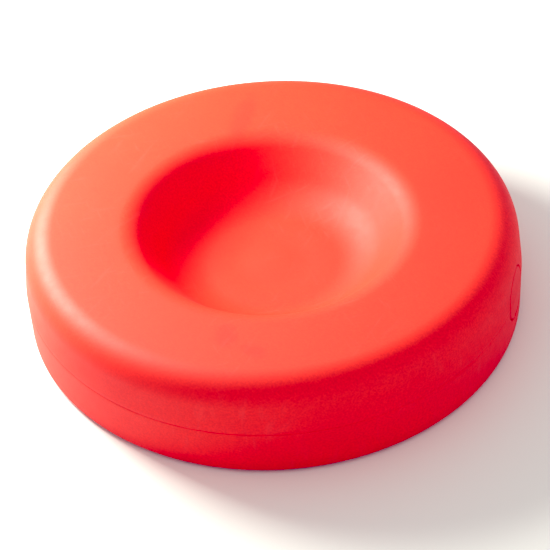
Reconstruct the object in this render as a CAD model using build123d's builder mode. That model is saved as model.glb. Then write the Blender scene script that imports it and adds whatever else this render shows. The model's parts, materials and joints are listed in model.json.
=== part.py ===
from build123d import *
import os
from math import asin, degrees, radians, tan

# Weighted training stone: two moulded shells that meet at a seam round the side, a filler
# opening on that seam, and dry sand inside. Millimetres, +Z up. The origin is on the floor,
# on the stone's own axis, and +X runs out through the middle of the filler plug.

# ---- driving dimensions --------------------------------------------------------------

seam_r = 140.0              # outer radius at the seam
lift = 1.0                  # how far the running band holds the shells off the floor
seam_z = 28.3               # height of the seam
wall = 3.0                  # shell thickness

upper_lean = 7.67          # degrees that the upper wall leans in
lower_lean = 1.15           # degrees that the lower wall leans out, going down
base_round = 2.7            # rounding of the bottom edge
shoulder_z = 58.6           # height of the sharp corner that the shoulder rounds off
shoulder_round = 15.4
rim_r = 77.6                # sharp corner between the sloping top and the dish
rim_z = 53.0
rim_round = 18.9
dish_foot_r = 52.0          # sharp corner between the dish wall and its floor
dish_foot_z = 22.5
dish_round = 36.0
dish_flat_r = 18.0          # the middle of the dish floor is flat
dish_flat_z = 19.8
dish_flat_round = 100.0

flange_width = 8.0          # thickened rim of each shell along the seam
flange_height = 6.0
seam_chamfer = 0.45         # the two shells leave a fine V groove between them
gasket_inset = 4.5          # from the outer wall to the middle of the gasket cord
gasket_r = 1.2
gasket_play = 0.05

band_inner_r = 58.0         # running band, the ring that the stone rides on
band_outer_r = 66.0
band_depth = 5.0            # how deep the band sits in the base
band_play = 0.05
band_edge = 1.0
pad_margin = 4.0            # base thickness left beside and above the band
cup_depth = 2.0             # hollow of the base inside the band
prop_inner_r = 8.0          # short pillar under the dish floor
prop_outer_r = 11.0

screw_count = 6
screw_circle_r = 102.0
screw_start = 30.0          # angle of the first screw from the filler plug
post_r = 7.5                # posts of the lower shell, around the screw heads
post_top_z = 12.0
post_web = 3.0
head_hole_r = 4.8
boss_r = 5.0                # bosses of the upper shell, which the screws cut into
boss_bore_r = 2.0
boss_bore_depth = 18.0
screw_r = 1.97
screw_hole_r = 2.3
screw_length = 19.0
screw_tip = 2.5
screw_head_r = 4.0
screw_head_height = 2.6
screw_head_round = 0.9
cross_width = 0.9
cross_length = 4.2
cross_depth = 1.5
washer_r = 4.4
washer_hole_r = 2.05
washer_thickness = 1.2

mouth_r = 15.2              # round opening on the seam that the plug closes
housing_r = 19.8            # half-round housings in both shells, around the neck
housing_inner_x = 119.0
housing_outer_x = 135.6
neck_flange_r = 18.0
neck_flange_x = 129.5       # inner face of the neck's flange
neck_flange_thickness = 3.0
neck_r = 13.4
neck_inner_x = 117.0
neck_bore_r = 11.0
neck_play = 0.1
neck_lead_in = 1.2
neck_seal_thickness = 1.2
plug_head_r = 14.7
plug_head_gap = 0.3         # between the plug's head and the seal in front of the neck
plug_shank_r = 10.95
plug_shank_end_x = 119.5
plug_core_r = 6.0
plug_core_floor = 3.0
plug_lead_in = 1.5
seal_cord_r = 1.25
seal_groove_r = 8.45
seal_groove_width = 2.8
seal_x = 125.5
notch_width = 9.0           # thumbnail notch in the plug's edge
notch_height = 1.8
notch_depth = 1.6

sand_gap = 0.5
sand_top_z = 50.5
sand_shoulder_z = 46.0
sand_inner_foot_z = 38.0
sand_inner_top_r = 92.0
sand_inner_mid_r = 78.0
sand_outer_top_r = 126.0
sand_housing_gap = 1.0

os.makedirs("parts", exist_ok=True)

# ---- shared outline ------------------------------------------------------------------

base_z = lift
base_r = seam_r + (seam_z - base_z) * tan(radians(lower_lean))
shoulder_r = seam_r - (shoulder_z - seam_z) * tan(radians(upper_lean))
below_seam = 4.0            # the upper outline runs on past the seam before it is cut
start_r = seam_r + below_seam * tan(radians(upper_lean))
upper_outline = [
    (start_r, seam_z - below_seam),
    (shoulder_r, shoulder_z),
    (rim_r, rim_z),
    (dish_foot_r, dish_foot_z),
    (dish_flat_r, dish_flat_z),
    (0, dish_flat_z),
]
upper_rounds = [shoulder_round, rim_round, dish_round, dish_flat_round]

gasket_r_mid = seam_r - gasket_inset
gasket_gap_angle = degrees(asin((housing_r - gasket_r) / gasket_r_mid))
gasket_arc = 360.0 - 2 * gasket_gap_angle
gasket_plane = Plane.XZ.rotated((0, 0, gasket_gap_angle))

pad_inner_r = band_inner_r - pad_margin
pad_outer_r = band_outer_r + pad_margin
pad_top_z = base_z + band_depth + wall
cup_z = base_z + cup_depth
post_head_z = post_top_z - post_web
# the bosses reach to the middle of the wall under the sloping top
top_rise = (shoulder_z - rim_z) / (shoulder_r - rim_r)
boss_root_z = rim_z + (screw_circle_r - rim_r) * top_rise - wall / 2

neck_front_x = neck_flange_x + neck_flange_thickness
pocket_depth = neck_flange_thickness + neck_seal_thickness + neck_play
neck_seal_hole_r = neck_bore_r + neck_lead_in
plug_head_x = neck_front_x + neck_seal_thickness + plug_head_gap


def seam_x_plane(x):
    """The plane across the filler's axis, at distance x from the stone's axis."""
    return Plane(origin=(x, 0, seam_z), x_dir=(0, 1, 0), z_dir=(1, 0, 0))


# ---- upper shell: side, shoulder, sloping top and dish in one skin --------------------

with BuildPart() as upper_shell:
    with BuildSketch(Plane.XZ):
        with BuildLine():
            skin = FilletPolyline(*upper_outline, radius=upper_rounds)
            offset(skin, amount=wall, side=Side.LEFT)
        make_face()
    revolve(axis=Axis.Z)
    # the side ends squarely at the seam
    with BuildSketch(Plane.XY.offset(seam_z)):
        Circle(seam_r + flange_width)
        Circle(seam_r - flange_width, mode=Mode.SUBTRACT)
    extrude(amount=-2 * below_seam, mode=Mode.SUBTRACT)
    seam_edges = edges().filter_by(GeomType.CIRCLE).filter_by_position(Axis.Z, seam_z, seam_z)
    chamfer(seam_edges.sort_by(SortBy.RADIUS)[-1], seam_chamfer)
    # thickened rim along the seam
    with BuildSketch(Plane.XY.offset(seam_z)):
        Circle(seam_r - wall / 2)
        Circle(seam_r - flange_width, mode=Mode.SUBTRACT)
    extrude(amount=flange_height)
    # half-round housing for the filler neck
    with BuildSketch(seam_x_plane(housing_inner_x)):
        Circle(housing_r)
        Rectangle(4 * housing_r, 2 * housing_r, align=(Align.CENTER, Align.MAX), mode=Mode.SUBTRACT)
    extrude(amount=housing_outer_x - housing_inner_x)
    with BuildSketch(seam_x_plane(neck_inner_x)):
        Circle(neck_r + neck_play)
    extrude(amount=neck_flange_x - neck_inner_x, mode=Mode.SUBTRACT)
    with BuildSketch(seam_x_plane(neck_flange_x - neck_play)):
        Circle(neck_flange_r + neck_play)
    extrude(amount=pocket_depth, mode=Mode.SUBTRACT)
    with BuildSketch(seam_x_plane(neck_flange_x)):
        Circle(mouth_r)
    extrude(amount=seam_r, mode=Mode.SUBTRACT)
    # gasket groove
    with BuildSketch(gasket_plane):
        with Locations((gasket_r_mid, seam_z)):
            Circle(gasket_r + gasket_play)
    revolve(axis=Axis.Z, revolution_arc=gasket_arc, mode=Mode.SUBTRACT)
    # screw bosses, with the holes that the screws cut into
    with BuildSketch(Plane.XY.offset(post_top_z)):
        with PolarLocations(screw_circle_r, screw_count, start_angle=screw_start):
            Circle(boss_r)
    extrude(amount=boss_root_z - post_top_z)
    with BuildSketch(Plane.XY.offset(post_top_z)):
        with PolarLocations(screw_circle_r, screw_count, start_angle=screw_start):
            Circle(boss_bore_r)
    extrude(amount=boss_bore_depth, mode=Mode.SUBTRACT)

# ---- lower shell: base, side, screw posts and running band seat -----------------------

with BuildPart() as lower_shell:
    with BuildSketch(Plane.XZ):
        with BuildLine():
            Polyline((0, base_z), (base_r, base_z), (seam_r, seam_z), (0, seam_z), close=True)
        make_face()
    revolve(axis=Axis.Z)
    fillet(edges().filter_by(GeomType.CIRCLE).group_by(Axis.Z)[0], base_round)
    chamfer(edges().filter_by(GeomType.CIRCLE).group_by(Axis.Z)[-1], seam_chamfer)
    with BuildSketch(Plane.XY.offset(base_z + wall)):
        Circle(seam_r - flange_width)
    extrude(amount=seam_z, mode=Mode.SUBTRACT)
    # the side is one wall thick below the thickened rim
    with BuildSketch(Plane.XY.offset(base_z + wall)):
        Circle(seam_r - wall)
    extrude(amount=seam_z - flange_height - base_z - wall, mode=Mode.SUBTRACT)
    # raised pad over the running band, and the hollow inside it
    with BuildSketch(Plane.XY.offset(base_z)):
        Circle(pad_outer_r)
    extrude(amount=pad_top_z - base_z)
    with BuildSketch(Plane.XY.offset(cup_z + wall)):
        Circle(pad_inner_r)
    extrude(amount=pad_top_z - cup_z, mode=Mode.SUBTRACT)
    with BuildSketch(Plane.XY):
        Circle(pad_inner_r)
    extrude(amount=cup_z, mode=Mode.SUBTRACT)
    with BuildSketch(Plane.XY):
        Circle(band_outer_r + band_play)
        Circle(band_inner_r - band_play, mode=Mode.SUBTRACT)
    extrude(amount=base_z + band_depth, mode=Mode.SUBTRACT)
    # pillar under the dish floor
    with BuildSketch(Plane.XY.offset(cup_z + wall / 2)):
        Circle(prop_outer_r)
        Circle(prop_inner_r, mode=Mode.SUBTRACT)
    extrude(amount=dish_flat_z - wall - cup_z - wall / 2)
    # screw posts, open from below
    with BuildSketch(Plane.XY.offset(base_z + wall / 2)):
        with PolarLocations(screw_circle_r, screw_count, start_angle=screw_start):
            Circle(post_r)
    extrude(amount=post_top_z - base_z - wall / 2)
    with BuildSketch(Plane.XY):
        with PolarLocations(screw_circle_r, screw_count, start_angle=screw_start):
            Circle(head_hole_r)
    extrude(amount=post_head_z, mode=Mode.SUBTRACT)
    with BuildSketch(Plane.XY):
        with PolarLocations(screw_circle_r, screw_count, start_angle=screw_start):
            Circle(screw_hole_r)
    extrude(amount=post_top_z, mode=Mode.SUBTRACT)
    # half-round housing for the filler neck
    with BuildSketch(seam_x_plane(housing_inner_x)):
        Circle(housing_r)
        Rectangle(4 * housing_r, 2 * housing_r, align=(Align.CENTER, Align.MIN), mode=Mode.SUBTRACT)
    extrude(amount=housing_outer_x - housing_inner_x)
    with BuildSketch(seam_x_plane(neck_inner_x)):
        Circle(neck_r + neck_play)
    extrude(amount=neck_flange_x - neck_inner_x, mode=Mode.SUBTRACT)
    with BuildSketch(seam_x_plane(neck_flange_x - neck_play)):
        Circle(neck_flange_r + neck_play)
    extrude(amount=pocket_depth, mode=Mode.SUBTRACT)
    with BuildSketch(seam_x_plane(neck_flange_x)):
        Circle(mouth_r)
    extrude(amount=seam_r, mode=Mode.SUBTRACT)
    # gasket groove
    with BuildSketch(gasket_plane):
        with Locations((gasket_r_mid, seam_z)):
            Circle(gasket_r + gasket_play)
    revolve(axis=Axis.Z, revolution_arc=gasket_arc, mode=Mode.SUBTRACT)

# ---- seam gasket: a rubber cord that stops at the filler housing on either side -------

with BuildPart() as seam_gasket:
    with BuildSketch(gasket_plane):
        with Locations((gasket_r_mid, seam_z)):
            Circle(gasket_r)
    revolve(axis=Axis.Z, revolution_arc=gasket_arc)

# ---- running band --------------------------------------------------------------------

with BuildPart() as running_band:
    with BuildSketch(Plane.XY):
        Circle(band_outer_r)
        Circle(band_inner_r, mode=Mode.SUBTRACT)
    extrude(amount=base_z + band_depth)
    fillet(faces().sort_by(Axis.Z)[0].edges(), band_edge)

# ---- shell screws, driven up from below, and the sealing washers under their heads ----

washer_z = post_head_z - washer_thickness
head_z = washer_z - screw_head_height
screw_profile = [
    (0, washer_z),
    (screw_r, washer_z),
    (screw_r, washer_z + screw_length - screw_tip),
    (0, washer_z + screw_length),
]

with BuildPart() as one_screw:
    with BuildSketch(Plane.XY.offset(head_z)):
        Circle(screw_head_r)
    extrude(amount=screw_head_height)
    fillet(faces().sort_by(Axis.Z)[0].edges(), screw_head_round)
    with BuildSketch(Plane.XZ):
        with BuildLine():
            Polyline(*screw_profile, close=True)
        make_face()
    revolve(axis=Axis.Z)
    with BuildSketch(Plane.XY.offset(head_z)):
        Rectangle(cross_length, cross_width)
        Rectangle(cross_width, cross_length)
    extrude(amount=cross_depth, mode=Mode.SUBTRACT)

with BuildPart() as shell_screws:
    with PolarLocations(screw_circle_r, screw_count, start_angle=screw_start):
        add(one_screw.part)

with BuildPart() as screw_washers:
    with BuildSketch(Plane.XY.offset(washer_z)):
        with PolarLocations(screw_circle_r, screw_count, start_angle=screw_start):
            Circle(washer_r)
            Circle(washer_hole_r, mode=Mode.SUBTRACT)
    extrude(amount=washer_thickness)

# ---- filler neck, held in the two housings, and the seal in front of its flange -------

with BuildPart() as filler_neck:
    with BuildSketch(seam_x_plane(neck_inner_x)):
        Circle(neck_r)
    extrude(amount=neck_flange_x - neck_inner_x)
    with BuildSketch(seam_x_plane(neck_flange_x)):
        Circle(neck_flange_r)
    extrude(amount=neck_flange_thickness)
    with BuildSketch(seam_x_plane(neck_inner_x)):
        Circle(neck_bore_r)
    extrude(amount=neck_front_x - neck_inner_x, mode=Mode.SUBTRACT)
    bore_rim = faces().sort_by(Axis.X)[-1].edges().sort_by(SortBy.RADIUS)[0]
    chamfer(bore_rim, neck_lead_in)

with BuildPart() as neck_seal:
    with BuildSketch(seam_x_plane(neck_front_x)):
        Circle(neck_flange_r)
        Circle(neck_seal_hole_r, mode=Mode.SUBTRACT)
    extrude(amount=neck_seal_thickness)

# ---- filler plug: its head carries on the outline of the two shells -------------------

with BuildPart() as filler_plug:
    # the outline of both shells' sides, trimmed to the round head
    with BuildSketch(Plane.XZ):
        with BuildLine():
            Polyline(
                (neck_bore_r, base_z),
                (base_r, base_z),
                (seam_r, seam_z),
                (shoulder_r, shoulder_z),
                (neck_bore_r, shoulder_z),
                close=True,
            )
        make_face()
    revolve(axis=Axis.Z)
    with BuildSketch(seam_x_plane(plug_head_x)):
        Circle(plug_head_r)
    extrude(amount=seam_r, mode=Mode.INTERSECT)
    # shank, with a groove for its sealing ring and a blind core
    with BuildSketch(seam_x_plane(plug_shank_end_x)):
        Circle(plug_shank_r)
    extrude(amount=plug_head_x - plug_shank_end_x)
    chamfer(faces().sort_by(Axis.X)[0].edges(), plug_lead_in)
    with BuildSketch(seam_x_plane(plug_shank_end_x)):
        Circle(plug_core_r)
    extrude(amount=plug_head_x - plug_core_floor - plug_shank_end_x, mode=Mode.SUBTRACT)
    with BuildSketch(seam_x_plane(seal_x - seal_groove_width / 2)):
        Circle(neck_r)
        Circle(seal_groove_r, mode=Mode.SUBTRACT)
    extrude(amount=seal_groove_width, mode=Mode.SUBTRACT)
    # thumbnail notch under the head
    with BuildSketch(Plane.XY.offset(seam_z - plug_head_r)):
        with Locations((seam_r, 0)):
            Rectangle(2 * notch_depth, notch_width)
    extrude(amount=notch_height, mode=Mode.SUBTRACT)

with BuildPart() as plug_seal:
    with BuildSketch(Plane.XZ):
        with Locations((seal_x, seam_z + seal_groove_r + seal_cord_r)):
            Circle(seal_cord_r)
    revolve(axis=Axis((0, 0, seam_z), (1, 0, 0)))

# ---- dry sand, settled in the ring-shaped space round the dish ------------------------

sand_foot_z = base_z + wall + sand_gap
sand_outer_r = seam_r - flange_width - sand_gap
sand_outline = [
    (pad_outer_r + sand_gap, sand_foot_z),
    (sand_outer_r, sand_foot_z),
    (sand_outer_r, sand_shoulder_z),
    (sand_outer_top_r, sand_top_z),
    (sand_inner_top_r, sand_top_z),
    (sand_inner_mid_r, sand_shoulder_z),
    (pad_outer_r + sand_gap, sand_inner_foot_z),
]

with BuildPart() as sand_ballast:
    with BuildSketch(Plane.XZ):
        with BuildLine():
            Polyline(*sand_outline, close=True)
        make_face()
    revolve(axis=Axis.Z)
    with BuildSketch(Plane.XY):
        with PolarLocations(screw_circle_r, screw_count, start_angle=screw_start):
            Circle(post_r + sand_gap)
    extrude(amount=post_top_z + sand_gap, mode=Mode.SUBTRACT)
    with BuildSketch(Plane.XY):
        with PolarLocations(screw_circle_r, screw_count, start_angle=screw_start):
            Circle(boss_r + sand_gap)
    extrude(amount=shoulder_z, mode=Mode.SUBTRACT)
    with BuildSketch(seam_x_plane(neck_inner_x - sand_housing_gap)):
        Circle(housing_r + sand_gap)
    extrude(amount=seam_r, mode=Mode.SUBTRACT)

# ---- write one file per piece --------------------------------------------------------

pieces = {
    "upper_shell": upper_shell,
    "lower_shell": lower_shell,
    "seam_gasket": seam_gasket,
    "running_band": running_band,
    "shell_screws": shell_screws,
    "screw_washers": screw_washers,
    "filler_neck": filler_neck,
    "neck_seal": neck_seal,
    "filler_plug": filler_plug,
    "plug_seal": plug_seal,
    "sand_ballast": sand_ballast,
}
for name, piece in pieces.items():
    piece.part.label = name
    export_step(piece.part, "parts/" + name + ".step")
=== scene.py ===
import json
from math import asin, atan2, ceil, cos, hypot, pi, radians, sin, sqrt, tan

import bmesh
import bpy
from mathutils import Matrix, Vector


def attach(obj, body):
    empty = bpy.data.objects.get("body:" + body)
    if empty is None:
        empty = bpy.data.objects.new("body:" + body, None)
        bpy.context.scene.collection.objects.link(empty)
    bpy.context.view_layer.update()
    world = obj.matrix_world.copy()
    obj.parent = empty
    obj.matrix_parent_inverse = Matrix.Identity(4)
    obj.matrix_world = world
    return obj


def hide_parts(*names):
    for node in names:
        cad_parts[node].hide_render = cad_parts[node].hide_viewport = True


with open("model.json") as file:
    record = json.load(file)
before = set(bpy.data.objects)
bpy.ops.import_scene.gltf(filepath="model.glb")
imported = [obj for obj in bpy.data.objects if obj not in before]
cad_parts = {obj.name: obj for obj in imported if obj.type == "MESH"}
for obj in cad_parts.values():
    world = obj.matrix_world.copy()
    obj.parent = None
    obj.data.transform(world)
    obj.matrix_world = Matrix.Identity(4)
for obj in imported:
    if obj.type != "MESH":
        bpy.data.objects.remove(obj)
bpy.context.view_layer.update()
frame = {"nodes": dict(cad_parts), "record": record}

mm = 0.001

# ---- dimensions of the shells and the filler opening, as in the CAD part -------------

seam_r = 140 * mm
seam_z = 28.3 * mm
lift = 1 * mm
wall = 3 * mm
upper_lean = radians(7.67)
lower_lean = radians(1.15)
base_round = 2.7 * mm
shoulder_z = 58.6 * mm
shoulder_r = seam_r - (shoulder_z - seam_z) * tan(upper_lean)
shoulder_round = 15.4 * mm
rim_r, rim_z, rim_round = 77.6 * mm, 53 * mm, 18.9 * mm
dish_foot_r, dish_foot_z, dish_round = 52 * mm, 22.5 * mm, 36 * mm
dish_flat_r, dish_flat_z, dish_flat_round = 18 * mm, 19.8 * mm, 100 * mm
base_r = seam_r + (seam_z - lift) * tan(lower_lean)
flange_width = 8 * mm
flange_height = 6 * mm

band_inner_r = 57.95 * mm
band_outer_r = 66.05 * mm
band_seat_z = 6 * mm
band_corner = 0.4 * mm
pad_margin = 4 * mm
cup_z = 3 * mm

screw_count = 6
screw_circle_r = 102 * mm
screw_start = radians(30)
post_r = 7.5 * mm
post_foot_z = lift + wall
drill_top_z = post_foot_z + 0.5 * mm
post_top_z = 12 * mm
post_head_z = 9 * mm
head_hole_r = 4.8 * mm
screw_hole_r = 2.3 * mm

mouth_r = 15.2 * mm
mouth_edge = 0.8 * mm          # rounding of the mouth
mouth_face_x = 133.8 * mm      # inner face of the shells' collar, in front of the neck seal
housing_r = 19.8 * mm
lip = 0.32 * mm                # rounding of both shells' lips, which leaves the seam's groove

plug_r = 14.7 * mm
plug_edge = 0.7 * mm
plug_head_x = 134 * mm
plug_shank_r = 10.95 * mm
plug_end_x = 119.5 * mm
plug_lead_in = 1.5 * mm
plug_core_r = 6 * mm
plug_core_x = 131 * mm
seal_x = 125.5 * mm
seal_groove_r = 8.45 * mm
seal_groove_width = 2.8 * mm
notch_depth = 1.5 * mm
notch_reach = 2.2 * mm
notch_half_width = 4.5 * mm
notch_soft_width = 1.35 * mm

# ---- mesh building -------------------------------------------------------------------

columns = 360                  # vertices round the stone
patch_columns = 12             # the filler patch reaches this many columns to either side
column_angle = 2 * pi / columns
arc_step = radians(4)
foot_arc_step = 3 * arc_step
pad_arc_step = 6 * arc_step
fine_step = radians(0.25)
run_step = 2.5 * mm
sharp_angle = radians(38)
merge_gap = 0.002 * mm
axis_gap = 0.01 * mm           # a point nearer the axis than this lies on it
edge_parts = 5                 # steps round the edge of the mouth and of the plug
lip_parts = 3                  # steps round a shell's lip
patch_margin = 1.2 * mm        # the filler patch reaches this far past the housing
patch_shares = (0.82, 0.65, 0.5, 0.36, 0.24, 0.14, 0.06, 0)   # its rows, from border to mouth
inner_patch_shares = (0, 0.5)                                 # and on the inside, from housing out
flange_steps = 340
flange_overlap = 0.2 * mm      # reach of the flange into the wall
flange_gap = 0.3 * mm          # between the flange and the filler housing
post_sides = 48
plug_sides = 180


def rounded_outline(corners, rounds, step):
    """Points (r, z) along a line of corners, each inner corner rounded to its own radius."""
    line = [Vector(corner) for corner in corners]
    points = [line[0]]

    def run_to(end):
        start = points[-1].copy()
        parts = max(1, ceil((end - start).length / run_step))
        for part in range(1, parts + 1):
            points.append(start.lerp(end, part / parts))

    for before, corner, after, radius in zip(line, line[1:], line[2:], rounds):
        into = (corner - before).normalized()
        out = (after - corner).normalized()
        turn = into.angle(out)
        bend = 1 if into.x * out.y > into.y * out.x else -1
        arc_start = corner - into * radius * tan(turn / 2)
        centre = arc_start + Vector((-into.y, into.x)) * radius * bend
        run_to(arc_start)
        parts = ceil(turn / step)
        for part in range(1, parts + 1):
            spin = Matrix.Rotation(bend * turn * part / parts, 2)
            points.append(centre + spin @ (arc_start - centre))
    run_to(line[-1])
    return points


def radius_at(outline, z):
    """Radius of the side at height z, between the two points of the outline next to it."""
    for low, high in zip(outline, outline[1:]):
        if (low.y - z) * (high.y - z) <= 0 and low.y != high.y:
            return low.x + (high.x - low.x) * (z - low.y) / (high.y - low.y)
    return outline[0].x


def side_x(r, y):
    """The x at which the side of radius r lies, y away from the filler's axis."""
    return sqrt(r * r - y * y)


def quarter_turn(radius, parts):
    """Steps round a quarter circle, as distances from its two sides, from flat to square."""
    for part in range(1, parts + 1):
        bend = pi / 2 * part / parts
        yield radius * (1 - sin(bend)), radius * (1 - cos(bend))


def filler_ring(bm, turns, radius, x_of, direction=1):
    """Vertices round the filler's axis; x_of gives each one's x from its y and z."""
    row = []
    for turn in turns:
        y, z = radius * cos(turn), seam_z + direction * radius * sin(turn)
        row.append(bm.verts.new((x_of(y, z), y, z)))
    return row


def new_piece(name, bm, body, slot, *nodes):
    """Turn a bmesh into a piece that stands for CAD nodes."""
    piece = linked(name, tidied(bm))
    bm.free()
    for polygon in piece.data.polygons:
        polygon.use_smooth = True
    piece.data.set_sharp_from_angle(angle=sharp_angle)
    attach(piece, body)
    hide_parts(*nodes)
    return piece


def bridge(bm, first, second, closed=False):
    """Faces between two rows of vertices of the same length."""
    pairs = list(zip(first, second))
    if closed:
        pairs.append(pairs[0])
    for (a, b), (c, d) in zip(pairs, pairs[1:]):
        corners = list(dict.fromkeys((a, b, d, c)))
        if len(corners) > 2:
            bm.faces.new(corners)


def skin_rows(bm, outline):
    """One row of vertices round the axis for each outline point; a point on the axis is shared."""
    rows = []
    for point in outline:
        if point.x < axis_gap:
            rows.append([bm.verts.new((0, 0, point.y))] * columns)
            continue
        angles = (column_angle * column for column in range(columns))
        rows.append([bm.verts.new((point.x * cos(a), point.x * sin(a), point.y)) for a in angles])
    return rows


def open_skin(bm, rows, last):
    """Faces between the rows, with a hole for the filler patch up to row number last."""
    for index, (low, high) in enumerate(zip(rows, rows[1:])):
        for column in range(-patch_columns, columns - patch_columns):
            if index < last and column < patch_columns:
                continue
            a, b = column % columns, (column + 1) % columns
            bridge(bm, (low[a], low[b]), (high[a], high[b]))


def border_turns(border, side, outer):
    """Angle about the filler's axis for each vertex of the patch's border.

    Next to the seam the mouth has points as high as the lip's, so that the lips meet; between
    those the angles follow the border's own.
    """
    height = [abs(point.y - seam_z) for point in side]
    soft_r = mouth_r + mouth_edge
    lip_turn = asin(height[lip_parts] / soft_r)
    slope = [atan2(abs(v.co.z - seam_z), v.co.y) for v in outer]
    turns = []
    for (row, column), angle in zip(border, slope):
        if row <= lip_parts:
            turn = asin(height[row] / soft_r)
            turns.append(turn if column > 0 else pi - turn)
        else:
            share = (angle - slope[lip_parts]) / (pi - 2 * slope[lip_parts])
            turns.append(lip_turn + share * (pi - 2 * lip_turn))
    return turns


def shell(bm, side, rest, inner_side, inner_rest, side_table):
    """A closed shell with half of the filler mouth on its seam.

    side and inner_side are matching outline points from the seam to just past the filler
    housing; rest and inner_rest carry on from there to the axis.
    """
    direction = 1 if side[-1].y > side[0].y else -1
    outer = skin_rows(bm, side + rest)
    inner = skin_rows(bm, inner_side + inner_rest)
    last = len(side) - 1
    open_skin(bm, outer, last)
    open_skin(bm, inner, last)
    for column in range(patch_columns, columns - patch_columns):
        following = (column + 1) % columns
        bridge(bm, (outer[0][column], outer[0][following]), (inner[0][column], inner[0][following]))

    # the patch: rays from the mouth to the border of the hole left in both skins
    border = [(row, patch_columns) for row in range(last + 1)]
    border += [(last, column) for column in range(patch_columns - 1, -patch_columns, -1)]
    border += [(row, -patch_columns) for row in range(last, -1, -1)]
    outer_border = [outer[row][column % columns] for row, column in border]
    inner_border = [inner[row][column % columns] for row, column in border]
    turns = border_turns(border, side, outer_border)

    def ring(radius, x_of):
        return filler_ring(bm, turns, radius, x_of, direction)

    def blend(ends, radius, share, table):
        """A row part of the way from a circle to the border, on the side's surface."""
        row = []
        for turn, end in zip(turns, ends):
            y = radius * cos(turn) * (1 - share) + end.co.y * share
            z = (seam_z + direction * radius * sin(turn)) * (1 - share) + end.co.z * share
            row.append(bm.verts.new((side_x(radius_at(table, z), y), y, z)))
        return row

    rows = [outer_border]
    rows += [blend(outer_border, mouth_r + mouth_edge, share, side_table) for share in patch_shares]
    for away, drop in quarter_turn(mouth_edge, edge_parts):
        rows.append(ring(mouth_r + away, lambda y, z: side_x(radius_at(side_table, z), y) - drop))
    rows.append(ring(mouth_r, lambda y, z: mouth_face_x))
    rows.append(ring(housing_r, lambda y, z: mouth_face_x))
    rows += [blend(inner_border, housing_r, share, inner_side) for share in inner_patch_shares]
    rows.append(inner_border)
    for low, high in zip(rows, rows[1:]):
        bridge(bm, low, high)
    for end in (0, -1):
        bm.faces.new([row[end] for row in rows])


def turned(bm, centre, outline):
    """A closed ring turned about a vertical line from a closed outline."""
    rows = []
    for r, z in outline:
        angles = (2 * pi * step / post_sides for step in range(post_sides))
        rows.append([bm.verts.new((centre.x + r * cos(a), centre.y + r * sin(a), z)) for a in angles])
    for low, high in zip(rows, rows[1:] + rows[:1]):
        bridge(bm, low, high, closed=True)


def tidied(bm):
    """Join the seams between the patches of a closed mesh and turn its faces outwards."""
    bmesh.ops.remove_doubles(bm, verts=bm.verts, dist=merge_gap)
    bmesh.ops.recalc_face_normals(bm, faces=bm.faces)
    return bm


def linked(name, bm):
    """A plain object with the contents of a bmesh."""
    mesh = bpy.data.meshes.new(name)
    bm.to_mesh(mesh)
    piece = bpy.data.objects.new(name, mesh)
    bpy.context.scene.collection.objects.link(piece)
    return piece


def drill(bm, tool):
    """Take the volume of one closed mesh out of another."""
    blank, cutter = linked("blank", tidied(bm)), linked("cutter", tidied(tool))
    tool.free()
    modifier = blank.modifiers.new("holes", "BOOLEAN")
    modifier.operation = "DIFFERENCE"
    modifier.solver = "EXACT"
    modifier.object = cutter
    evaluated = blank.evaluated_get(bpy.context.evaluated_depsgraph_get())
    bm.clear()
    bm.from_mesh(evaluated.data)
    for mesh in (blank.data, cutter.data):
        bpy.data.meshes.remove(mesh)


def lip_points(direction, lean):
    """The rounded lip of one shell, from the seam to the plain side."""
    points = []
    for away, rise in [(lip, 0), *quarter_turn(lip, lip_parts)]:
        points.append(Vector((seam_r + rise * lean - away, seam_z + direction * rise)))
    return points


def split_side(outline, direction):
    """Cut an outline in two just past the filler housing."""
    reach = housing_r + patch_margin
    index = next(i for i, point in enumerate(outline) if direction * (point.y - seam_z) >= reach)
    return outline[:index + 1], outline[index + 1:]


def inset(outline, amount):
    """The outline moved in, square to itself and without its two end points."""
    points = []
    for before, point, after in zip(outline, outline[1:], outline[2:]):
        along = (after - before).normalized()
        points.append(point + Vector((-along.y, along.x)) * amount)
    return points


def flange(bm, direction):
    """The thickened rim inside a shell; it stops at the filler housing on either side."""
    gap = asin((housing_r + flange_gap) / (seam_r - wall))
    inner, outer = seam_r - flange_width, seam_r - wall + flange_overlap
    section = [(outer, 0), (outer, flange_height), (inner, flange_height), (inner, 0)]
    rows = []
    for step in range(flange_steps + 1):
        a = gap + (2 * pi - 2 * gap) * step / flange_steps
        rows.append([bm.verts.new((r * cos(a), r * sin(a), seam_z + direction * h)) for r, h in section])
    for low, high in zip(rows, rows[1:]):
        bridge(bm, low, high, closed=True)
    bm.faces.new(rows[0])
    bm.faces.new(rows[-1])


# ---- upper shell ---------------------------------------------------------------------

upper_corners = [
    (seam_r - lip * tan(upper_lean), seam_z + lip),
    (shoulder_r, shoulder_z),
    (rim_r, rim_z),
    (dish_foot_r, dish_foot_z),
    (dish_flat_r, dish_flat_z),
    (0, dish_flat_z),
]
upper_rounds = [shoulder_round, rim_round, dish_round, dish_flat_round]
upper_lip = lip_points(1, -tan(upper_lean))
upper_outline = upper_lip + rounded_outline(upper_corners, upper_rounds, arc_step)[1:]
upper_table = upper_lip + rounded_outline(upper_corners, upper_rounds, fine_step)[1:]
upper_side, upper_rest = split_side(upper_outline, 1)
inner_wall = inset(upper_outline, wall)
upper_inner_side = [Vector((point.x - wall / cos(upper_lean), point.y)) for point in upper_side]
upper_inner_rest = inner_wall[len(upper_side) - 1:] + [Vector((0, dish_flat_z - wall))]

bm = bmesh.new()
shell(bm, upper_side, upper_rest, upper_inner_side, upper_inner_rest, upper_table)
flange(bm, 1)
upper_shell = new_piece("upper_shell_skin", bm, "stone", "shell_red", "upper_shell")

# ---- lower shell ---------------------------------------------------------------------

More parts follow.
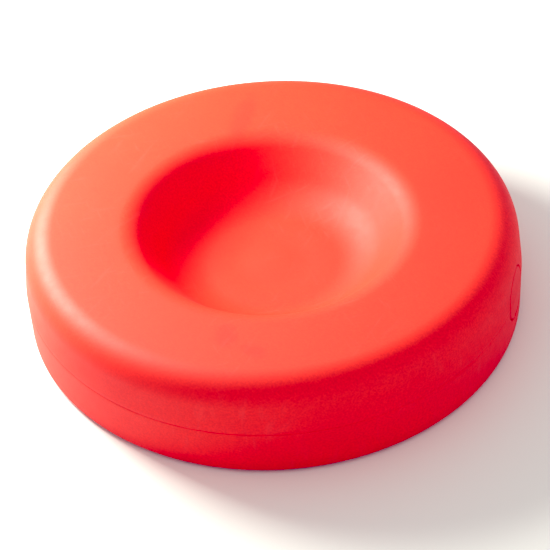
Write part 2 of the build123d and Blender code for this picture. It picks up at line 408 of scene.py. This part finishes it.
lower_corners = [
    (seam_r + lip * tan(lower_lean), seam_z - lip),
    (base_r, lift),
    (band_outer_r, lift),
    (band_outer_r, band_seat_z),
    (band_inner_r, band_seat_z),
    (band_inner_r, cup_z),
    (0, cup_z),
]
lower_rounds = [base_round] + [band_corner] * 4
lower_inner_corners = [
    (base_r - wall, lift + wall),
    (band_outer_r + pad_margin, lift + wall),
    (band_outer_r + pad_margin, band_seat_z + wall),
    (band_inner_r - pad_margin, band_seat_z + wall),
    (band_inner_r - pad_margin, cup_z + wall),
    (0, cup_z + wall),
]
lower_lip = lip_points(-1, tan(lower_lean))
lower_outline = lower_lip + rounded_outline(lower_corners, lower_rounds, foot_arc_step)[1:]
lower_side, lower_rest = split_side(lower_outline, -1)
lower_inner_side = [Vector((point.x - wall, point.y)) for point in lower_side]
lower_inner_rest = rounded_outline(lower_inner_corners, [band_corner] * 4, pad_arc_step)

bm = bmesh.new()
shell(bm, lower_side, lower_rest, lower_inner_side, lower_inner_rest, lower_outline)
drills = bmesh.new()
post_places = []
for screw in range(screw_count):
    turn = screw_start + 2 * pi * screw / screw_count
    post_places.append(Vector((screw_circle_r * cos(turn), screw_circle_r * sin(turn))))
    turned(drills, post_places[-1], [(0, 0), (head_hole_r, 0), (head_hole_r, drill_top_z), (0, drill_top_z)])
drill(bm, drills)
post_outline = [
    (post_r, post_foot_z),
    (post_r, post_top_z),
    (screw_hole_r, post_top_z),
    (screw_hole_r, post_head_z),
    (head_hole_r, post_head_z),
    (head_hole_r, post_foot_z),
]
for place in post_places:
    turned(bm, place, post_outline)
flange(bm, -1)
lower_shell = new_piece("lower_shell_skin", bm, "stone", "shell_red", "lower_shell")

# ---- filler plug ---------------------------------------------------------------------

plug_turns = [2 * pi * side / plug_sides for side in range(plug_sides)]
face_radii = [r * mm for r in (1, 2.5, 4.5, 6.5, 8.5, 10.5, 11.8, 12.4, 12.8, 13.2, 13.6)]


def smooth(value):
    """Ease from 0 to 1, flat at both ends."""
    share = min(1, max(0, value))
    return share * share * (3 - 2 * share)


def head_x(y, z):
    """The head carries on the side of both shells, with a scoop for a thumbnail below."""
    rise = z - seam_z
    if rise > 0:
        return side_x(seam_r - rise * tan(upper_lean), y)
    reach = (hypot(y, rise) - plug_r + notch_reach) / notch_reach
    across = (notch_half_width - abs(y)) / notch_soft_width
    return side_x(seam_r - rise * tan(lower_lean), y) - notch_depth * smooth(reach) * smooth(across)


bm = bmesh.new()
centre = bm.verts.new((seam_r, 0, seam_z))
rows = [[centre] * plug_sides]
rows += [filler_ring(bm, plug_turns, radius, head_x) for radius in face_radii + [plug_r - plug_edge]]
for away, drop in quarter_turn(plug_edge, edge_parts):
    rows.append(filler_ring(bm, plug_turns, plug_r - away, lambda y, z: head_x(y, z) - drop))
shank = [
    (plug_r, plug_head_x),
    (plug_shank_r, plug_head_x),
    (plug_shank_r, seal_x + seal_groove_width / 2),
    (seal_groove_r, seal_x + seal_groove_width / 2),
    (seal_groove_r, seal_x - seal_groove_width / 2),
    (plug_shank_r, seal_x - seal_groove_width / 2),
    (plug_shank_r, plug_end_x + plug_lead_in),
    (plug_shank_r - plug_lead_in, plug_end_x),
    (plug_core_r, plug_end_x),
    (plug_core_r, plug_core_x),
]
rows += [filler_ring(bm, plug_turns, radius, lambda y, z: x) for radius, x in shank]
rows.append([bm.verts.new((plug_core_x, 0, seam_z))] * plug_sides)
for low, high in zip(rows, rows[1:]):
    bridge(bm, low, high, closed=True)
filler_plug = new_piece("filler_plug_skin", bm, "plug", "plug_red", "filler_plug")

# ---- camera --------------------------------------------------------------------------

view_azimuth = radians(20.0)
view_elevation = radians(41.82)
view_roll = radians(-3.83)
view_distance = 6.243 * seam_r
aim_offset = 0.0037 * seam_r       # the aim lies this far to the camera's right of the axis
aim_height = 0.067 * seam_r + lift
sensor_width = 36.0                # in millimetres, as Blender wants both
focal_length = 99.34
level = Vector((cos(view_azimuth), sin(view_azimuth), 0))
forward = Vector((0, cos(view_elevation), -sin(view_elevation)))
forward.rotate(Matrix.Rotation(view_azimuth, 3, "Z"))
upward = level.cross(forward)
right = level * cos(view_roll) + upward * sin(view_roll)
up = upward * cos(view_roll) - level * sin(view_roll)
aim = level * aim_offset + Vector((0, 0, aim_height))

camera_data = bpy.data.cameras.new("camera")
camera = bpy.data.objects.new("camera", camera_data)
bpy.context.scene.collection.objects.link(camera)
turn = Matrix((right, up, -forward)).transposed().to_4x4()
camera.matrix_world = Matrix.Translation(aim - forward * view_distance) @ turn
camera_data.sensor_width = sensor_width
camera_data.lens = focal_length
camera_data.clip_start = 10 * mm
bpy.context.scene.camera = camera

# ---- materials -----------------------------------------------------------------------

noise_low, noise_high = 0.3, 0.7   # nearly all noise values lie between these
uneven_gloss_size = 6 * mm
uneven_gloss = 0.02
plastic_tone_size, plastic_tone = 70 * mm, 0.05
plain_tone_size = 9 * mm
speckle_size, speckle_share, speckle_tint = 1.1 * mm, 0.8, -0.18
peel_size, grain_size, peel_depth = 2.6 * mm, 0.7 * mm, 0.03 * mm
scuff_streaks = [(radians(35), 26 * mm), (radians(-50), 17 * mm), (radians(80), 32 * mm)]
scuff_stretch = 9
scuff_patch_size = 45 * mm
scuff_paleness = 0.2               # share of grey in a scuff
# darkening used for the faint marks and for the painted shade near the foot
shade_and_mark_tint = -0.5
# painted shade near the foot: it darkens the plastic below this height, in patches of this size
foot_shade_z, foot_shade_patch_size = 9 * mm, 12 * mm
smudge_ragged_size = 7 * mm
smudge_edge, smudge_core = 1.6, 1.0   # reach plus noise where a smudge ends, and where it is full
ring_spacing = 3 * mm
scratch_angle, scratch_stretch, scratch_size = radians(20), 14, 9 * mm
band_wear, band_wear_tint, band_relief = 0.5, -0.18, 0.04 * mm
sand_grain_size, sand_relief = 0.8 * mm, 0.3 * mm
# faint marks on the top and side: centre, angle, length, width and strength
smudges = [
    (Vector((-44, 84, 56)) * mm, radians(92), 50 * mm, 14 * mm, 0.26),
    (Vector((8, -97, 56)) * mm, radians(110), 24 * mm, 13 * mm, 0.26),
    (Vector((25, -105, 57)) * mm, radians(-20), 17 * mm, 10 * mm, 0.22),
    (Vector((27, -132, 30)) * mm, radians(110), 12 * mm, 10 * mm, 0.15),
]


def add_node(tree, kind, options=None, **values):
    """A shader node with its options and unlinked inputs set."""
    node = tree.nodes.new(kind)
    for option, value in (options or {}).items():
        setattr(node, option, value)
    for socket, value in values.items():
        node.inputs[socket.replace("_", " ")].default_value = value
    return node


def spread(tree, value, low, high, out_low=0.0, out_high=1.0):
    """Stretch a value from low..high to out_low..out_high."""
    limits = {"From_Min": low, "From_Max": high, "To_Min": out_low, "To_Max": out_high}
    node = add_node(tree, "ShaderNodeMapRange", **limits)
    tree.links.new(value, node.inputs["Value"])
    return node.outputs["Result"]


def noise(tree, place, size, detail=2.0):
    """Noise with features of about this size."""
    node = add_node(tree, "ShaderNodeTexNoise", Scale=1 / size, Detail=detail)
    tree.links.new(place, node.inputs["Vector"])
    return node.outputs["Fac"]


def stretched(tree, place, angle, stretch):
    """Coordinates turned back by an angle about +Z and drawn out, for streaks along that angle."""
    options = {"vector_type": "TEXTURE"}
    scale = (1, 1 / stretch, 1)
    node = add_node(tree, "ShaderNodeMapping", options, Rotation=(0, 0, angle), Scale=scale)
    tree.links.new(place, node.inputs["Vector"])
    return node.outputs["Vector"]


def combine(tree, kind, first, second):
    """Sum, product or maximum of two values, each a number or another node's output."""
    node = add_node(tree, "ShaderNodeMath", {"operation": kind})
    for socket, value in zip(node.inputs, (first, second)):
        if isinstance(value, (int, float)):
            socket.default_value = value
        else:
            tree.links.new(value, socket)
    return node.outputs["Value"]


def blended(tree, share, first, second):
    """Mix of two colours; each is a plain colour or another node's output."""
    node = add_node(tree, "ShaderNodeMix", {"data_type": "RGBA"})
    tree.links.new(share, node.inputs["Factor"])
    for socket, color in zip((s for s in node.inputs if s.type == "RGBA"), (first, second)):
        if isinstance(color, tuple):
            socket.default_value = (*color, 1)
        else:
            tree.links.new(color, socket)
    return next(s for s in node.outputs if s.type == "RGBA")


def smudge(tree, place, centre, angle, length, width):
    """Soft spot with an uneven border, longest along an angle about +Z."""
    local = add_node(tree, "ShaderNodeVectorMath", {"operation": "SUBTRACT"})
    tree.links.new(place, local.inputs[0])
    local.inputs[1].default_value = centre
    options = {"vector_type": "TEXTURE"}
    scale = (length / 2, width / 2, length)
    aligned = add_node(tree, "ShaderNodeMapping", options, Rotation=(0, 0, angle), Scale=scale)
    tree.links.new(local.outputs["Vector"], aligned.inputs["Vector"])
    reach = add_node(tree, "ShaderNodeVectorMath", {"operation": "LENGTH"})
    tree.links.new(aligned.outputs["Vector"], reach.inputs[0])
    ragged = combine(tree, "ADD", reach.outputs["Value"], noise(tree, place, smudge_ragged_size, 4))
    return spread(tree, ragged, smudge_edge, smudge_core)


def tinted(color, amount):
    """The colour made lighter, or darker with a negative amount."""
    return tuple(min(1, channel * (1 + amount)) for channel in color)


def start_material(name, metallic=0.0):
    """A new material, its node tree, its shader, and the coordinates on the piece."""
    material = bpy.data.materials.new(name)
    material.use_nodes = True
    tree = material.node_tree
    shader = tree.nodes["Principled BSDF"]
    shader.inputs["Metallic"].default_value = metallic
    place = tree.nodes.new("ShaderNodeTexCoord").outputs["Object"]
    return material, tree, shader, place


def finish_surface(tree, shader, place, color, roughness, relief, relief_depth):
    """Link colour, a slightly uneven roughness and the relief to the shader."""
    uneven = noise(tree, place, uneven_gloss_size, 3)
    tree.links.new(color, shader.inputs["Base Color"])
    low, high = roughness - uneven_gloss, roughness + uneven_gloss
    rough = spread(tree, uneven, noise_low, noise_high, low, high)
    tree.links.new(rough, shader.inputs["Roughness"])
    bump = add_node(tree, "ShaderNodeBump", Strength=1.0, Distance=relief_depth)
    tree.links.new(relief, bump.inputs["Height"])
    tree.links.new(bump.outputs["Normal"], shader.inputs["Normal"])


def scuffs(tree, place):
    """Streaks in a few directions, in some places only."""
    marks = None
    for angle, size in scuff_streaks:
        streak = noise(tree, stretched(tree, place, angle, scuff_stretch), size, 4)
        streak = spread(tree, streak, 0.6, 0.72)
        marks = streak if marks is None else combine(tree, "MAXIMUM", marks, streak)
    patches = spread(tree, noise(tree, place, scuff_patch_size, 1), 0.45, 0.65)
    return combine(tree, "MULTIPLY", marks, patches)


def painted_foot_shade(tree, place):
    """Painted shade: the plastic darkens towards the foot, broken up into patches."""
    height = tree.nodes.new("ShaderNodeSeparateXYZ")
    tree.links.new(place, height.inputs["Vector"])
    rising = spread(tree, height.outputs["Z"], foot_shade_z, lift, 0, 0.5)
    patchy = spread(tree, noise(tree, place, foot_shade_patch_size, 4), noise_low, noise_high, 0.4, 1)
    return combine(tree, "MULTIPLY", rising, patchy)


def moulded_plastic(name, color, roughness, scuff_share):
    """Satin moulded plastic: uneven tone, orange peel, fine grain, light scuffs, faint darker marks and
    painted shade towards the foot.
    """
    material, tree, shader, place = start_material(name)
    tone = spread(tree, noise(tree, place, plastic_tone_size, 3), noise_low, noise_high)
    base = blended(tree, tone, tinted(color, -plastic_tone), tinted(color, plastic_tone))
    speckle = spread(tree, noise(tree, place, speckle_size, 2), noise_low, noise_high)
    speckle = combine(tree, "MULTIPLY", speckle, speckle_share)
    base = blended(tree, speckle, base, tinted(color, speckle_tint))
    marks = combine(tree, "MULTIPLY", scuffs(tree, place), scuff_share)
    dusty = tuple(channel * (1 - scuff_paleness) + scuff_paleness * max(color) for channel in color)
    base = blended(tree, marks, base, dusty)
    for centre, angle, length, width, share in smudges:
        spot = combine(tree, "MULTIPLY", smudge(tree, place, centre, angle, length, width), share)
        base = blended(tree, spot, base, tinted(color, shade_and_mark_tint))
    # painted shade: the plastic darkens towards the foot
    base = blended(tree, painted_foot_shade(tree, place), base, tinted(color, shade_and_mark_tint))
    relief = combine(tree, "ADD", noise(tree, place, peel_size, 2), noise(tree, place, grain_size, 2))
    finish_surface(tree, shader, place, base, roughness, relief, peel_depth)
    return material


def plain_material(name, color, roughness, texture_size, depth, variation=0.08, metallic=0.0):
    """Rubber, white plastic or metal: uneven tone and a fine grain."""
    material, tree, shader, place = start_material(name, metallic)
    tone = spread(tree, noise(tree, place, plain_tone_size, 3), noise_low, noise_high)
    base = blended(tree, tone, tinted(color, -variation), tinted(color, variation))
    finish_surface(tree, shader, place, base, roughness, noise(tree, place, texture_size, 2), depth)
    return material


def band_material(name, color, roughness):
    """Slick white band with fine rings and scratches from sliding."""
    material, tree, shader, place = start_material(name)
    rings = add_node(
        tree,
        "ShaderNodeTexWave",
        {"wave_type": "RINGS", "rings_direction": "Z"},
        Scale=1 / ring_spacing,
        Distortion=3.0,
        Detail=3.0,
    )
    tree.links.new(place, rings.inputs["Vector"])
    along = stretched(tree, place, scratch_angle, scratch_stretch)
    scratches = spread(tree, noise(tree, along, scratch_size, 4), 0.55, 0.7)
    wear = combine(tree, "MAXIMUM", rings.outputs["Fac"], scratches)
    wear = combine(tree, "MULTIPLY", wear, band_wear)
    base = blended(tree, wear, color, tinted(color, band_wear_tint))
    finish_surface(tree, shader, place, base, roughness, wear, band_relief)
    return material


def sand_material(name, color):
    """Dry sand: separate grains, each with a slightly different tone."""
    material, tree, shader, place = start_material(name)
    grains = add_node(tree, "ShaderNodeTexVoronoi", Scale=1 / sand_grain_size)
    tree.links.new(place, grains.inputs["Vector"])
    tone = spread(tree, grains.outputs["Color"], 0, 1)
    base = blended(tree, tone, tinted(color, -0.35), tinted(color, 0.25))
    finish_surface(tree, shader, place, base, 0.9, grains.outputs["Distance"], sand_relief)
    return material


shell_color = (0.93, 0.079, 0.0143)
plug_color = (0.9, 0.075, 0.013)
materials = {
    "shell_red": moulded_plastic("shell_red", shell_color, 0.6, 0.06),
    "plug_red": moulded_plastic("plug_red", plug_color, 0.57, 0.03),
    "black_rubber": plain_material("black_rubber", (0.03, 0.03, 0.03), 0.72, 0.5 * mm, 0.05 * mm, 0.3),
    "neck_white": plain_material("neck_white", (0.78, 0.78, 0.73), 0.45, 1.2 * mm, 0.03 * mm, 0.04),
    "band_white": band_material("band_white", (0.8, 0.8, 0.76), 0.32),
    "screw_steel": plain_material("screw_steel", (0.58, 0.58, 0.6), 0.34, 0.3 * mm, 0.02 * mm, 0.1, 1.0),
    "dry_sand": sand_material("dry_sand", (0.6, 0.47, 0.3)),
}
for subpart in frame["record"]["subparts"]:
    node = frame["nodes"][subpart["node"]]
    node.data.materials.clear()
    node.data.materials.append(materials[subpart["material_slot"]])
for piece, slot in ((upper_shell, "shell_red"), (lower_shell, "shell_red"), (filler_plug, "plug_red")):
    piece.data.materials.append(materials[slot])

# ---- stage ---------------------------------------------------------------------------

floor_size = 12.0
corners = [(x * floor_size / 2, y * floor_size / 2, 0) for x, y in ((-1, -1), (1, -1), (1, 1), (-1, 1))]
floor_mesh = bpy.data.meshes.new("floor")
floor_mesh.from_pydata(corners, [], [(0, 1, 2, 3)])
floor = bpy.data.objects.new("floor", floor_mesh)
bpy.context.scene.collection.objects.link(floor)
floor_material, _, floor_shader, _ = start_material("floor")
floor_shader.inputs["Base Color"].default_value = (0.85, 0.84, 0.79, 1)
floor_shader.inputs["Roughness"].default_value = 0.8
floor_mesh.materials.append(floor_material)

world = bpy.data.worlds.new("studio")
bpy.context.scene.world = world
world.use_nodes = True
background = world.node_tree.nodes["Background"]
background.inputs["Color"].default_value = (0.987, 1, 0.978, 1)
background.inputs["Strength"].default_value = 0.787


def softbox(name, azimuth, elevation, distance, width, height, power):
    """Area light aimed at the stone; azimuth is anticlockwise from the camera's side."""
    data = bpy.data.lights.new(name, "AREA")
    data.shape = "RECTANGLE"
    data.size = width
    data.size_y = height
    data.energy = power
    light = bpy.data.objects.new(name, data)
    bpy.context.scene.collection.objects.link(light)
    light.visible_camera = False
    around, above = radians(azimuth) + view_azimuth, radians(elevation)
    place = Vector((sin(around) * cos(above), -cos(around) * cos(above), sin(above))) * distance
    light.location = place
    light.rotation_euler = (-place).to_track_quat("-Z", "Y").to_euler()


softbox("key", azimuth=-123, elevation=36.5, distance=0.53, width=0.2, height=0.14, power=6.3)
softbox("fill", azimuth=50, elevation=8, distance=1.6, width=0.8, height=0.4, power=0.8)

settings = bpy.context.scene.view_settings
settings.view_transform = "Standard"
settings.use_curve_mapping = True
settings.curve_mapping.black_level = (0.05, 0.09, 0.02)
settings.curve_mapping.update()
